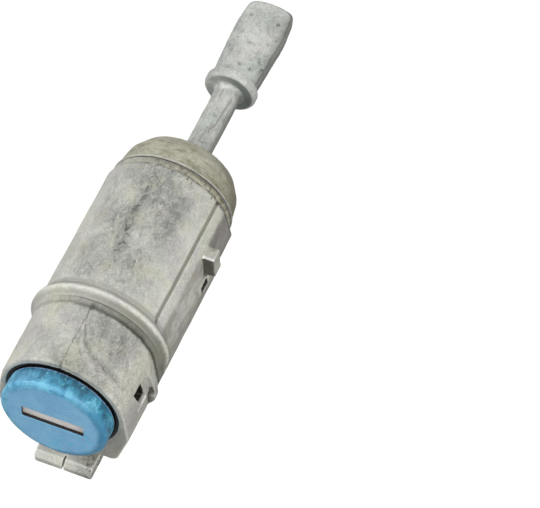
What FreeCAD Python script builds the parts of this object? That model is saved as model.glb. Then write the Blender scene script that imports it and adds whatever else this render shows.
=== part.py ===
import FreeCAD, Part
import math
import os

# Car door lock cylinder, in millimetres.
# The lock's axis is Y, the key goes in towards +Y, +Z is up.
# The origin is on the axis, where the crest of the flange begins.

V = FreeCAD.Vector
AXIS = V(0, 1, 0)

# Housing, lengths along the axis
flange_width = 1.2
collar_length = 12.0
barrel_length = 25.3
rear_band_length = 1.6
flange_cove = 0.8
flange_crest_front = 0.35
flange_crest = 0.5
flange_run_out = 2.4
rear_band_bevel = 0.3

# Housing, walls and steps outward from the bores
collar_wall = 0.98
barrel_wall = 2.16
flange_proud = 1.12
flange_lean = 0.25
rear_band_step = 0.41
lip_rounding = 0.35
front_bore_depth = 4.6

# Lower lobe of the housing
lobe_side_proud = 0.29
lobe_side_z = -4.1
lobe_corner_step = 2.3
lobe_drop = 0.58
lobe_side_rounding = 4.0
lobe_corner_rounding = 1.6

# Side rail of the barrel, beside a cast groove
groove_angle = 55.6
groove_width = 0.6
groove_start = 1.4
rail_edge_proud = 0.17
rail_edge_angle = 66.7
rail_side_proud = 0.55
rail_side_angle = 96.3
rail_lead_angle = 2.0
rail_low_angle = 114.0

# Catch on the rail, with a small slot in front of it
catch_front_y = 16.5
catch_length = 2.3
catch_top_z = 3.7
catch_height = 4.1
catch_proud = 0.75
catch_lean = 0.2
catch_root = 1.0
catch_slot_length = 2.2
catch_slot_height = 1.25
catch_slot_gap = 0.5
catch_slot_z = -1.15
catch_slot_depth = 0.8

# Foot under the collar
foot_half_width = 4.7
foot_thickness = 2.0
foot_drop = 5.65
foot_front_proud = 1.45
foot_length = 11.0
foot_slit_width = 0.3
foot_slit_depth = 1.7
foot_web_half_width = 2.7
foot_web_recess = 3.2
foot_web_sink = 0.3
foot_web_root = 0.6
foot_bevel = 0.85
foot_corner = 0.4

# Window and hook on the side of the collar
window_height = 3.6
window_length = 2.4
window_shear = 1.2
window_mid_z = 0.1
window_front_gap = 4.1
hook_width = 1.3
hook_gap = 2.1
hook_lead_angle = 46.0
hook_end_angle = 115.0
hook_rise = 1.3
hook_knob_radius = 0.85
hook_knob_proud = 0.15

# Rear cap of the housing
rear_lip_step = 0.34
rear_lip_width = 0.45
rear_cap_step = 0.52
rear_cap_length = 3.3
rear_cap_taper = 0.58
rear_cone_length = 2.15
rear_cone_step = 1.36
rear_cap_wall = 1.6
spigot_length = 2.4
spigot_wall = 1.0
spigot_step = 0.6
spring_notch_depth = 0.5

# Front cap
cap_proud = 2.9
cap_bevel_depth = 0.5
cap_bevel_mid_y = 0.15
cap_bevel_mid_step = 0.4
cap_bevel_width = 1.0
cap_rim_proud = 0.3
cap_skirt_wall = 0.81
cap_rim_width = 0.9
cap_front_wall = 1.3
cap_rear_gap = 0.3
key_slot_length = 9.9
key_slot_height = 2.4

# Front seal
seal_length = 2.0
seal_setback = 0.2
seal_lip = 0.35

# Plug, whose radius drives every radius round it
plug_radius = 6.6
plug_head_step = 0.8
plug_head_recess = 0.75
plug_tail_collar = 0.9
keyway_width = 9.4
keyway_height = 2.5
keyway_end_wall = 6.0
tongue_width = 3.2
tongue_span = 9.0
tongue_length = 1.9
clip_groove_depth = 0.7

# Sleeve round the plug
sleeve_wall = 1.45
sleeve_flange_step = 0.75
sleeve_flange_room = 0.2
sleeve_flange_width = 1.0
sleeve_end_gap = 5.04
sleeve_groove_depth = 1.05

# Shutter behind the key slot
shutter_overlap = 0.2
shutter_thickness = 0.45
shutter_setback = 0.65
shutter_drop = 3.85
shutter_hinge_z = 2.4
shutter_knuckle_radius = 0.6
shutter_spring_gap = 2.4
shutter_pin_radius = 0.35
shutter_pin_end = 1.05
shutter_room = 0.15
shutter_wire = 0.16
shutter_turns = 3

# Wafers and their springs
wafer_count = 8
wafer_pitch = 2.6
wafer_thickness = 1.1
wafer_out = 0.9
wafer_first_gap = 1.6
wafer_end_wall = 1.11
wafer_window_height = 2.9
wafer_tooth_width = 1.2
wafer_tooth_height = 0.5
wafer_ear_width = 0.8
wafer_ear_height = 1.2
wafer_spring_length = 3.1
wafer_spring_wire = 0.18
wafer_spring_turns = 3

# Retaining clip
clip_thickness = 0.8
clip_step = 0.55
clip_gap_width = 7.0

# Driver, cross pin and washer
driver_room = 0.55
driver_plate = 3.4
driver_hub_radius = 4.1
driver_leg_hole_depth = 1.4
cross_pin_radius = 0.6
cross_pin_inset = 0.1
washer_thickness = 0.3
washer_proud = 1.5

# Return spring
return_wire = 0.8
return_turns = 3.25
return_pitch = 1.0
return_front_gap = 0.4
return_front_leg = 1.2

# Tailpiece
rod_radius = 2.17
rod_free_length = 16.3
rod_neck = 0.5
paddle_flange_radius = 4.3
paddle_flange_width = 1.5
paddle_flange_edge = 0.4
paddle_length = 16.65
paddle_root_half = 3.65
paddle_wide_half = 4.2
paddle_wide_at = 11.0
paddle_tip_half = 3.7
paddle_tip_crown = 0.7
paddle_tip_rounding = 1.6
paddle_wide_rounding = 12.0
paddle_thickness = 2.7
paddle_turn = 5.0
paddle_rounding = 0.45

# Clearances
running = 0.05
face_gap = 0.05
slip = 0.04

# Working values of the construction
round_mid = 0.29    # share of a rounding's radius at its middle point
over = 1.0          # how far a cutter runs past the faces it cuts
weld = 0.3          # how deep a joined feature is sunk in its neighbour
near = 0.01         # how near a point counts as on a plane
aligned = 0.99      # share of an edge's length that must run along an axis
wire_sides = 4      # flats round a thin wire
wire_steps = 8      # flats to a turn of a thin coil
return_sides = 5    # flats round the return spring's wire
return_steps = 16   # flats to a turn of the return spring

# Radii, from the plug outwards
plug_bore_radius = plug_radius + running
plug_head_radius = plug_radius + plug_head_step
sleeve_radius = plug_bore_radius + sleeve_wall
sleeve_flange_radius = sleeve_radius + sleeve_flange_step
sleeve_groove_radius = plug_bore_radius + sleeve_groove_depth
clip_radius = sleeve_radius - clip_step
main_bore_radius = sleeve_radius + running
front_bore_radius = sleeve_flange_radius + sleeve_flange_room
collar_radius = front_bore_radius + collar_wall
flange_radius = collar_radius + flange_proud
flange_crest_radius = flange_radius - flange_lean
barrel_radius = main_bore_radius + barrel_wall
rear_band_radius = barrel_radius - rear_band_step
cap_skirt_radius = plug_head_radius + slip + cap_skirt_wall
cap_rim_radius = cap_skirt_radius + cap_rim_proud
cap_face_radius = cap_rim_radius - cap_bevel_width
rear_lip_radius = barrel_radius - rear_lip_step
rear_cap_radius = barrel_radius - rear_cap_step
rear_corner_radius = rear_cap_radius - rear_cap_taper
rear_face_radius = rear_corner_radius - rear_cone_step
spigot_radius = main_bore_radius + spigot_step
spring_room_radius = spigot_radius - spigot_wall
driver_radius = spring_room_radius - driver_room
return_mean_radius = (driver_hub_radius + spring_room_radius) / 2
washer_radius = driver_hub_radius + washer_proud

# Widths and heights that follow from the radii
lobe_side_x = barrel_radius + lobe_side_proud
lobe_corner_x = lobe_side_x - lobe_corner_step
lobe_bottom_z = -collar_radius - lobe_drop
foot_bottom_z = lobe_bottom_z - foot_drop
shutter_width = key_slot_length + 2 * shutter_overlap
shutter_pin_length = shutter_width + 2 * shutter_pin_end
wafer_half_height = plug_radius / 2

# Stations along the axis
flange_front_y = -flange_width
lip_y = flange_front_y - collar_length
rim_y = lip_y - cap_proud
cap_face_y = rim_y - cap_bevel_depth
keel_end_y = catch_front_y + catch_length
cap_inner_y = cap_face_y + cap_front_wall
front_bore_end_y = lip_y + front_bore_depth
sleeve_front_y = front_bore_end_y - sleeve_flange_width - slip
cap_end_y = sleeve_front_y - cap_rear_gap
barrel_end_y = barrel_length
rear_band_end_y = barrel_end_y + rear_band_length
rear_lip_y = rear_band_end_y + face_gap
rear_corner_y = rear_lip_y + rear_lip_width + rear_cap_length
rear_face_y = rear_corner_y + rear_cone_length
rear_inner_y = rear_face_y - rear_cap_wall
spigot_front_y = rear_lip_y - spigot_length
plug_front_y = cap_inner_y + face_gap
plug_head_end_y = cap_end_y - plug_head_recess
sleeve_end_y = barrel_end_y - sleeve_end_gap
clip_front_y = sleeve_end_y + face_gap
clip_end_y = clip_front_y + clip_thickness
plug_collar_end_y = clip_end_y + plug_tail_collar
plug_end_y = plug_collar_end_y + tongue_length
driver_front_y = plug_collar_end_y + face_gap
hub_front_y = driver_front_y + driver_plate
washer_front_y = rear_inner_y - face_gap - washer_thickness
hub_end_y = washer_front_y - face_gap
return_start_y = hub_front_y + return_front_gap + return_wire / 2
return_end_y = return_start_y + return_pitch * return_turns
hinge_y = cap_face_y + shutter_setback + shutter_knuckle_radius + slip
shutter_front_y = cap_face_y + shutter_setback
wafer_first_y = sleeve_front_y + sleeve_flange_width + wafer_first_gap
paddle_flange_y = rear_face_y + rod_free_length
paddle_root_y = paddle_flange_y + paddle_flange_width
paddle_tip_y = paddle_root_y + paddle_length
shutter_room_half = shutter_width / 2 + shutter_room
wafer_slot_half = wafer_half_height + slip
wafer_slot_thickness = wafer_thickness + 2 * slip
wafer_arc_radius = plug_radius - slip
wafer_window_half = wafer_arc_radius - wafer_end_wall
wafer_ear_top = wafer_half_height + wafer_ear_height
spring_axis_z = wafer_half_height + wafer_ear_height / 2 + slip
spring_room_top = wafer_ear_top + 2 * slip


def box(x0, x1, y0, y1, z0, z1):
    return Part.makeBox(x1 - x0, y1 - y0, z1 - z0, V(x0, y0, z0))


def cylinder(radius, y0, y1):
    return Part.makeCylinder(radius, y1 - y0, V(0, y0, 0), AXIS)


def cone(radius_0, radius_1, y0, y1):
    return Part.makeCone(radius_0, radius_1, y1 - y0, V(0, y0, 0), AXIS)


def revolve(profile):
    """Turns an outline of (y, radius) points about the lock's axis."""
    points = [V(radius, y, 0) for y, radius in profile]
    face = Part.Face(Part.makePolygon(points + [points[0]]))
    return face.revolve(V(0, 0, 0), AXIS, 360)


def prism(outline, y0, y1):
    """Carries an outline of (x, z) points along the lock's axis."""
    points = [V(x, y0, z) for x, z in outline]
    face = Part.Face(Part.makePolygon(points + [points[0]]))
    return face.extrude(V(0, y1 - y0, 0))


def polar(radius, angle):
    """Point (x, z) at an angle from the top, turning towards +X."""
    turn = math.radians(angle)
    return radius * math.sin(turn), radius * math.cos(turn)


def along_axis_edges(shape, test):
    """Edges parallel to the axis whose middle passes a test."""
    picked = []
    for edge in shape.Edges:
        if not isinstance(edge.Curve, Part.Line):
            continue
        direction = edge.tangentAt(edge.FirstParameter)
        middle = edge.valueAt((edge.FirstParameter + edge.LastParameter) / 2)
        if abs(direction.y) > aligned and test(middle):
            picked.append(edge)
    return picked


def save(name, shape):
    solid = shape.removeSplitter()
    solid.exportStep("parts/" + name + ".step")


def housing_shell():
    """Turned form of the collar, flange, barrel and rear band."""
    cove_y = flange_front_y - flange_cove
    cove_length = -flange_crest_front - cove_y
    cove_mid_y = -flange_crest_front - cove_length * round_mid
    cove_mid_radius = collar_radius + flange_proud * round_mid
    outline = [
        (lip_y, 0),
        (lip_y, collar_radius - lip_rounding),
        (lip_y + lip_rounding, collar_radius),
        (cove_y, collar_radius),
        (cove_mid_y, cove_mid_radius),
        (-flange_crest_front, flange_crest_radius),
        (0, flange_radius),
        (flange_crest, flange_radius),
        (flange_run_out, barrel_radius),
        (barrel_end_y, barrel_radius),
        (barrel_end_y + rear_band_bevel, rear_band_radius),
        (rear_band_end_y, rear_band_radius),
        (rear_band_end_y, 0),
    ]
    return revolve(outline)


def lobe_prism(round_radius, y0, y1):
    """Lower lobe whose sides leave the round body along a tangent."""
    reach = math.hypot(lobe_side_x, lobe_side_z)
    side_angle = math.degrees(math.atan2(lobe_side_x, lobe_side_z))
    touch_angle = side_angle - math.degrees(math.acos(round_radius / reach))
    touch_x, touch_z = polar(round_radius, touch_angle)
    outline = [
        (touch_x, touch_z),
        (lobe_side_x, lobe_side_z),
        (lobe_corner_x, lobe_bottom_z),
        (-lobe_corner_x, lobe_bottom_z),
        (-lobe_side_x, lobe_side_z),
        (-touch_x, touch_z),
    ]
    lobe = prism(outline, y0, y1)
    sides = along_axis_edges(lobe, lambda p: abs(p.z - lobe_side_z) < near)
    lobe = lobe.makeFillet(lobe_side_rounding, sides)
    corners = along_axis_edges(lobe, lambda p: abs(p.z - lobe_bottom_z) < near)
    return lobe.makeFillet(lobe_corner_rounding, corners)


def rail_side():
    return polar(barrel_radius + rail_side_proud, rail_side_angle)


def housing_rail(low_points, end_y):
    """Two facets below the groove, closed by points at the lower side."""
    start_angle = groove_angle + rail_lead_angle
    outline = [
        (0, 0),
        polar(rear_band_radius, start_angle),
        polar(barrel_radius, start_angle),
        polar(barrel_radius + rail_edge_proud, rail_edge_angle),
        rail_side(),
    ]
    return prism(outline + low_points, -flange_width / 2, end_y)


def rail_groove():
    """Groove as deep as the step down to the rear band."""
    half = groove_width / 2
    end_y = barrel_end_y + over
    groove = box(-half, half, groove_start, end_y, rear_band_radius, barrel_radius + over)
    groove.rotate(V(0, 0, 0), AXIS, groove_angle)
    return groove


def rail_catch():
    """Block on the rail whose outer side leans out towards its foot."""
    outer_x = rail_side()[0] + catch_proud
    root_x = rail_side()[0] - catch_proud - catch_root
    low_z = catch_top_z - catch_height
    outline = [
        (root_x, low_z),
        (root_x, catch_top_z),
        (outer_x, catch_top_z),
        (outer_x + catch_lean, low_z),
    ]
    return prism(outline, catch_front_y, keel_end_y)


def catch_slot():
    face_x = rail_side()[0]
    end_y = catch_front_y - catch_slot_gap
    return box(
        face_x - catch_slot_depth,
        face_x + over,
        end_y - catch_slot_length,
        end_y,
        catch_slot_z - catch_slot_height / 2,
        catch_slot_z + catch_slot_height / 2,
    )


def housing_foot():
    """Tee-shaped foot: a plate on a web, slit at its front edge."""
    front_y = lip_y - foot_front_proud
    rear_y = front_y + foot_length
    top_z = foot_bottom_z + foot_thickness
    plate = box(-foot_half_width, foot_half_width, front_y, rear_y, foot_bottom_z, top_z)
    plate = plate.makeFillet(foot_corner, upright_edges(plate, lambda p: p.y < front_y + near))
    bevel_z = top_z - foot_bevel
    bevel = Part.Face(Part.makePolygon([
        V(-foot_half_width, front_y, bevel_z),
        V(-foot_half_width, front_y + foot_bevel, top_z),
        V(-foot_half_width, front_y, top_z),
        V(-foot_half_width, front_y, bevel_z),
    ]))
    plate = plate.cut(bevel.extrude(V(2 * foot_half_width, 0, 0)))
    half = foot_web_half_width
    web_low = top_z - foot_web_sink
    web_top = lobe_bottom_z + foot_web_root
    web = box(-half, half, front_y + foot_web_recess, rear_y, web_low, web_top)
    half = foot_slit_width / 2
    slit_end_y = front_y + foot_slit_depth
    slit = box(-half, half, front_y - over, slit_end_y, foot_bottom_z - over, top_z + over)
    return plate.cut(slit).fuse(web)


def collar_window():
    """Sheared four-sided window through the collar's side wall."""
    front_y = lip_y + window_front_gap
    top_z = window_mid_z + window_height / 2
    low_z = window_mid_z - window_height / 2
    points = [
        V(main_bore_radius, front_y, top_z),
        V(main_bore_radius, front_y + window_length, top_z),
        V(main_bore_radius, front_y + window_length + window_shear / 2, low_z),
        V(main_bore_radius, front_y + window_shear, low_z),
    ]
    face = Part.Face(Part.makePolygon(points + [points[0]]))
    return face.extrude(V(lobe_side_x, 0, 0))


def collar_hook():
    """Rib that swells out of the collar's side, down to a round knob.

    The rib's outer face is a smaller circle set off towards the knob, so
    it leaves the collar smoothly at the lead angle above the knob.
    """
    rear_y = flange_front_y - hook_gap
    front_y = rear_y - hook_width
    shift = hook_rise / (1 - math.cos(math.radians(hook_lead_angle)))
    shift_x, shift_z = polar(shift, hook_end_angle)
    rib = cylinder(collar_radius + hook_rise - shift, front_y, rear_y)
    rib.translate(V(shift_x, 0, shift_z))
    reach = flange_radius * 2
    sector = [
        (0, 0),
        polar(reach, hook_end_angle - 2 * hook_lead_angle),
        polar(reach, hook_end_angle - hook_lead_angle),
        polar(reach, hook_end_angle),
    ]
    rib = rib.common(prism(sector, front_y, rear_y))
    knob_reach = collar_radius + hook_rise + hook_knob_proud - hook_knob_radius
    end_x, end_z = polar(knob_reach, hook_end_angle)
    knob = Part.makeCylinder(hook_knob_radius, hook_width, V(end_x, front_y, end_z), AXIS)
    return rib.fuse(knob)


def make_housing():
    body = housing_shell()
    collar_lobe = lobe_prism(collar_radius, lip_y, 0)
    keel = lobe_prism(barrel_radius, -flange_width / 2, keel_end_y)
    keel_rail = housing_rail([(lobe_side_x, lobe_side_z), (0, lobe_side_z)], keel_end_y)
    end_rail = housing_rail([polar(barrel_radius, rail_low_angle)], barrel_end_y)
    added = [collar_lobe, keel, keel_rail, end_rail, rail_catch(), housing_foot(), collar_hook()]
    body = body.fuse(added)
    front_bore = cylinder(front_bore_radius, lip_y - over, front_bore_end_y)
    main_bore = cylinder(main_bore_radius, lip_y - over, rear_band_end_y + over)
    rear_bore = cylinder(spigot_radius + slip, spigot_front_y - slip, rear_band_end_y + over)
    cuts = [main_bore, rear_bore, rail_groove(), catch_slot(), collar_window()]
    return body.cut(front_bore.fuse(cuts))


def make_rear_cap():
    lip_end = rear_lip_y + rear_lip_width
    cap = revolve([
        (spigot_front_y, spring_room_radius),
        (spigot_front_y, spigot_radius),
        (rear_lip_y, spigot_radius),
        (rear_lip_y, rear_lip_radius),
        (lip_end, rear_lip_radius),
        (lip_end, rear_cap_radius),
        (rear_corner_y, rear_corner_radius),
        (rear_face_y, rear_face_radius),
        (rear_face_y, rod_radius + running),
        (rear_inner_y, rod_radius + running),
        (rear_inner_y, spring_room_radius),
    ])
    notch_half = return_wire / 2 + 2 * slip
    notch_end = return_end_y + notch_half
    notch_low = -spring_room_radius - spring_notch_depth
    notch_top = -spring_room_radius + over
    notch = box(-notch_half, notch_half, spigot_front_y - over, notch_end, notch_low, notch_top)
    return cap.cut(notch)


def make_front_cap():
    cap = revolve([
        (cap_face_y, 0),
        (cap_face_y, cap_face_radius),
        (cap_face_y + cap_bevel_mid_y, cap_rim_radius - cap_bevel_mid_step),
        (rim_y, cap_rim_radius),
        (rim_y + cap_rim_width / 2, cap_rim_radius),
        (rim_y + cap_rim_width, cap_skirt_radius),
        (cap_end_y, cap_skirt_radius),
        (cap_end_y, plug_head_radius + slip),
        (cap_inner_y, plug_head_radius + slip),
        (cap_inner_y, 0),
    ])
    slot_half = key_slot_length / 2
    slot_top = key_slot_height / 2
    slot = box(-slot_half, slot_half, cap_face_y - over, cap_inner_y + over, -slot_top, slot_top)
    pocket_y = shutter_front_y - slip
    pocket_low = shutter_hinge_z - shutter_drop - shutter_room
    pocket_top = shutter_hinge_z + shutter_knuckle_radius + shutter_room
    pocket_end_y = cap_inner_y + over
    half = shutter_room_half
    pocket = box(-half, half, pocket_y, pocket_end_y, pocket_low, pocket_top)
    return cap.cut(slot.fuse([pocket, shutter_pin_room()]))


def shutter_pin_room():
    """Trench that the shutter's pin lies in, shared by cap and plug."""
    half = shutter_pin_length / 2 + slip
    reach = shutter_pin_radius + slip
    low_y = hinge_y - reach
    return box(-half, half, low_y, hinge_y + reach, shutter_hinge_z - reach, shutter_hinge_z + reach)


def make_front_seal():
    front_y = lip_y + seal_setback
    inner = cap_skirt_radius + running
    return revolve([
        (front_y, inner + seal_lip),
        (front_y + seal_lip, inner),
        (front_y + seal_length, inner),
        (front_y + seal_length, front_bore_radius),
        (front_y, front_bore_radius),
    ])


def make_plug():
    groove_front = clip_front_y - slip
    groove_end = clip_end_y + slip
    plug = revolve([
        (plug_front_y, 0),
        (plug_front_y, plug_head_radius),
        (plug_head_end_y, plug_head_radius),
        (plug_head_end_y, plug_radius),
        (groove_front, plug_radius),
        (groove_front, plug_radius - clip_groove_depth),
        (groove_end, plug_radius - clip_groove_depth),
        (groove_end, plug_radius),
        (plug_collar_end_y, plug_radius),
        (plug_collar_end_y, 0),
    ])
    plug = plug.fuse(tongue(0, plug_collar_end_y - weld, plug_end_y))
    keyway_half = keyway_width / 2
    keyway_top = keyway_height / 2
    keyway_end_y = plug_end_y - keyway_end_wall
    keyway = box(-keyway_half, keyway_half, plug_front_y - over, keyway_end_y, -keyway_top, keyway_top)
    room_top = shutter_hinge_z + shutter_knuckle_radius + shutter_room
    room_low = shutter_hinge_z - shutter_drop - shutter_room
    room_end = hinge_y + math.hypot(shutter_drop, hinge_y - shutter_front_y) + shutter_room
    room = box(-shutter_room_half, shutter_room_half, plug_front_y - over, room_end, room_low, room_top)
    cuts = [room, shutter_pin_room()]
    for index in range(wafer_count):
        cuts.extend(wafer_rooms(index))
    return plug.cut(keyway.fuse(cuts))


def tongue(extra, y0, y1):
    """Flat tongue of the plug, or with some extra the driver's slot."""
    half_x = tongue_span / 2 + extra
    half_z = tongue_width / 2 + extra
    return box(-half_x, half_x, y0, y1, -half_z, half_z)


def wafer_side(index):
    return 1 if index % 2 == 0 else -1


def wafer_y(index):
    return wafer_first_y + index * wafer_pitch


def wafer_rooms(index):
    """Slot for one wafer, and the pocket for its ear and spring."""
    y0 = wafer_y(index) - slip
    y1 = y0 + wafer_slot_thickness
    reach = plug_radius + over
    slot = box(-reach, reach, y0, y1, -wafer_slot_half, wafer_slot_half)
    ends = spring_span(index)
    ear = ear_span(index)
    low = min(ends + ear) - slip
    high = max(ends + ear) + slip
    if wafer_side(index) > 0:
        low = min(ends)
    else:
        high = max(ends)
    pocket = box(low, high, y0, y1, 0, spring_room_top)
    return [slot, pocket]


def ear_span(index):
    """Where the ear lies along X at rest, with the wafer standing out."""
    side = wafer_side(index)
    inner = side * (wafer_out - wafer_ear_width / 2)
    outer = side * (wafer_out + wafer_ear_width / 2)
    return [inner, outer]


def spring_span(index):
    """The spring runs from the pocket's end wall to the ear."""
    side = wafer_side(index)
    ear_face = side * (wafer_out - wafer_ear_width / 2)
    return [ear_face, ear_face - side * wafer_spring_length]


def make_wafer(index):
    side = wafer_side(index)
    y0 = wafer_y(index)
    y1 = y0 + wafer_thickness
    blank = cylinder(wafer_arc_radius, y0, y1)
    blank = blank.common(box(-plug_radius, plug_radius, y0, y1, -wafer_half_height, wafer_half_height))
    ear_half = wafer_ear_width / 2
    ear = box(-ear_half, ear_half, y0, y1, wafer_half_height - weld, wafer_ear_top)
    window_top = wafer_window_height / 2
    window = box(-wafer_window_half, wafer_window_half, y0 - over, y1 + over, -window_top, window_top)
    tooth_half = wafer_tooth_width / 2
    tooth = box(-tooth_half, tooth_half, y0, y1, window_top - wafer_tooth_height, window_top + weld)
    wafer = blank.fuse(ear).cut(window).fuse(tooth)
    wafer.translate(V(side * wafer_out, 0, 0))
    return wafer


def coil(mean_radius, wire, pitch, turns, ends, sides, steps):
    """Helical spring whose turns and wire are drawn with a few flats."""
    rings = []
    count = int(turns * steps)
    for step in range(count + 1):
        turn = 2 * math.pi * step / steps
        outward = V(math.cos(turn), math.sin(turn), 0)
        middle = outward * mean_radius + V(0, 0, pitch * step / steps)
        ring = []
        for side in range(sides):
            lean = 2 * math.pi * (side + 0.5) / sides
            lift = V(0, 0, wire / 2 * math.sin(lean))
            ring.append(middle + outward * (wire / 2 * math.cos(lean)) + lift)
        rings.append(ring)
    faces = [flat(rings[0]), flat(rings[-1])]
    for first, second in zip(rings, rings[1:]):
        for side in range(sides):
            other = (side + 1) % sides
            faces.append(flat([first[side], first[other], second[other]]))
            faces.append(flat([first[side], second[other], second[side]]))
    solid = Part.Solid(Part.Shell(faces))
    if solid.Volume < 0:
        solid.reverse()
    start, direction = ends
    solid.Placement = FreeCAD.Placement(start, FreeCAD.Rotation(V(0, 0, 1), direction))
    return solid


def flat(points):
    return Part.Face(Part.makePolygon(points + [points[0]]))


def make_wafer_spring(index):
    side = wafer_side(index)
    ear_face, end_wall = spring_span(index)
    length = wafer_spring_length - wafer_spring_wire - 2 * slip
    pitch = length / wafer_spring_turns
    mean_radius = wafer_thickness / 2 - wafer_spring_wire / 2 - slip
    start_x = end_wall + side * (wafer_spring_wire / 2 + slip)
    start = V(start_x, wafer_y(index) + wafer_thickness / 2, spring_axis_z)
    ends = [start, V(side, 0, 0)]
    return coil(mean_radius, wafer_spring_wire, pitch, wafer_spring_turns, ends, wire_sides, wire_steps)


def make_sleeve():
    sleeve = revolve([
        (sleeve_front_y, plug_bore_radius),
        (sleeve_front_y, sleeve_flange_radius),
        (sleeve_front_y + sleeve_flange_width, sleeve_flange_radius),
        (sleeve_front_y + sleeve_flange_width, sleeve_radius),
        (sleeve_end_y, sleeve_radius),
        (sleeve_end_y, plug_bore_radius),
    ])
    groove_front = wafer_first_y - wafer_first_gap / 2
    groove_end = wafer_y(wafer_count - 1) + wafer_thickness + wafer_first_gap / 2
    half = wafer_slot_half + 2 * slip
    groove = box(-sleeve_radius, sleeve_radius, groove_front, groove_end, -half, half)
    groove = groove.common(cylinder(sleeve_groove_radius, groove_front, groove_end))
    return sleeve.cut(groove)


def make_clip():
    inner = plug_radius - clip_groove_depth + slip
    clip = cylinder(clip_radius, clip_front_y, clip_end_y).cut(cylinder(inner, clip_front_y, clip_end_y))
    half = clip_gap_width / 2
    return clip.cut(box(-half, half, clip_front_y, clip_end_y, -clip_radius - over, 0))


def hinge_rod(radius, length):
    """Cylinder on the shutter's hinge line."""
    return Part.makeCylinder(radius, length, V(-length / 2, hinge_y, shutter_hinge_z), V(1, 0, 0))


def make_shutter_flap():
    rear_y = shutter_front_y + shutter_thickness
    half = shutter_width / 2
    low = shutter_hinge_z - shutter_drop
    plate = box(-half, half, shutter_front_y, rear_y, low, shutter_hinge_z)
    knuckle = hinge_rod(shutter_knuckle_radius, shutter_width)
    bore = hinge_rod(shutter_pin_radius + running, shutter_width + over)
    gap_half = shutter_spring_gap / 2
    reach = shutter_knuckle_radius + shutter_room
    gap_top = shutter_hinge_z + reach
    gap_rear = hinge_y + reach
    behind = box(-gap_half, gap_half, rear_y, gap_rear, shutter_hinge_z - reach, gap_top)
    coil_reach = shutter_pin_radius + running + shutter_wire + slip
    coil_low = shutter_hinge_z - coil_reach
    through = box(-gap_half, gap_half, shutter_front_y - over, gap_rear, coil_low, gap_top)
    return plate.fuse(knuckle).cut(behind.fuse([through, bore]))


def make_shutter_pin():
    return hinge_rod(shutter_pin_radius, shutter_pin_length)


def make_shutter_spring():
    mean_radius = shutter_pin_radius + running + shutter_wire / 2
    length = shutter_spring_gap - 2 * shutter_wire
    pitch = length / shutter_turns
    ends = [V(-length / 2, hinge_y, shutter_hinge_z), V(1, 0, 0)]
    return coil(mean_radius, shutter_wire, pitch, shutter_turns, ends, wire_sides, wire_steps)


def make_driver():
    disc = cylinder(driver_radius, driver_front_y, hub_front_y)
    hub = cylinder(driver_hub_radius, hub_front_y - weld, hub_end_y)
    slot = tongue(slip, driver_front_y - over, plug_end_y + face_gap)
    bore = cylinder(rod_radius + running, hub_front_y, hub_end_y + over)
    leg_hole = return_front_leg_shape(running, hub_front_y - driver_leg_hole_depth)
    return disc.fuse(hub).cut(slot.fuse([bore, leg_hole, cross_pin_shape(running)]))


def return_front_leg_shape(extra, y0):
    """Front leg of the return spring, or with some extra its hole."""
    radius = return_wire / 2 + extra
    return Part.makeCylinder(radius, return_start_y - y0, V(return_mean_radius, y0, 0), AXIS)


def cross_pin_shape(extra):
    middle = (hub_front_y + hub_end_y) / 2
    radius = cross_pin_radius + extra
    half = driver_hub_radius
    return Part.makeCylinder(radius, 2 * half, V(0, middle, -half), V(0, 0, 1))


def make_cross_pin():
    middle = (hub_front_y + hub_end_y) / 2
    half = driver_hub_radius - cross_pin_inset
    return Part.makeCylinder(cross_pin_radius, 2 * half, V(0, middle, -half), V(0, 0, 1))


def make_rear_washer():
    y0 = washer_front_y
    washer = cylinder(washer_radius, y0, y0 + washer_thickness)
    return washer.cut(cylinder(rod_radius + running, y0, y0 + washer_thickness))


def make_return_spring():
    ends = [V(0, return_start_y, 0), AXIS]
    shape = [return_mean_radius, return_wire, return_pitch, return_turns]
    turns = coil(*shape, ends, return_sides, return_steps)
    front_leg = return_front_leg_shape(0, hub_front_y - return_front_leg)
    rear_start = V(0, return_end_y, -return_mean_radius)
    leg_length = spring_room_radius + spring_notch_depth - slip - return_mean_radius
    rear_leg = Part.makeCylinder(return_wire / 2, leg_length, rear_start, V(0, 0, -1))
    return turns.fuse([front_leg, rear_leg])


def make_paddle():
    """Flat blade that widens towards a rounded tip."""
    wide_y = paddle_root_y + paddle_wide_at
    tip_y = paddle_tip_y - paddle_tip_crown
    z0 = -paddle_thickness / 2
    outline = [
        V(-paddle_root_half, paddle_root_y - paddle_rounding, z0),
        V(paddle_root_half, paddle_root_y - paddle_rounding, z0),
        V(paddle_wide_half, wide_y, z0),
        V(paddle_tip_half, tip_y, z0),
    ]
    edges = [Part.makeLine(a, b) for a, b in zip(outline, outline[1:])]
    edges.append(Part.Arc(outline[3], V(0, paddle_tip_y, z0), V(-paddle_tip_half, tip_y, z0)).toShape())
    edges.append(Part.makeLine(V(-paddle_tip_half, tip_y, z0), V(-paddle_wide_half, wide_y, z0)))
    edges.append(Part.makeLine(V(-paddle_wide_half, wide_y, z0), outline[0]))
    blade = Part.Face(Part.Wire(edges)).extrude(V(0, 0, paddle_thickness))
    tips = upright_edges(blade, lambda p: p.y > wide_y + over)
    blade = blade.makeFillet(paddle_tip_rounding, tips)
    waists = upright_edges(blade, lambda p: abs(p.y - wide_y) < near)
    blade = blade.makeFillet(paddle_wide_rounding, waists)
    rims = []
    for edge in blade.Edges:
        middle = edge.valueAt((edge.FirstParameter + edge.LastParameter) / 2)
        if middle.y > paddle_root_y and abs(abs(middle.z) - paddle_thickness / 2) < near:
            rims.append(edge)
    return blade.makeChamfer(paddle_rounding, rims)


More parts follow.
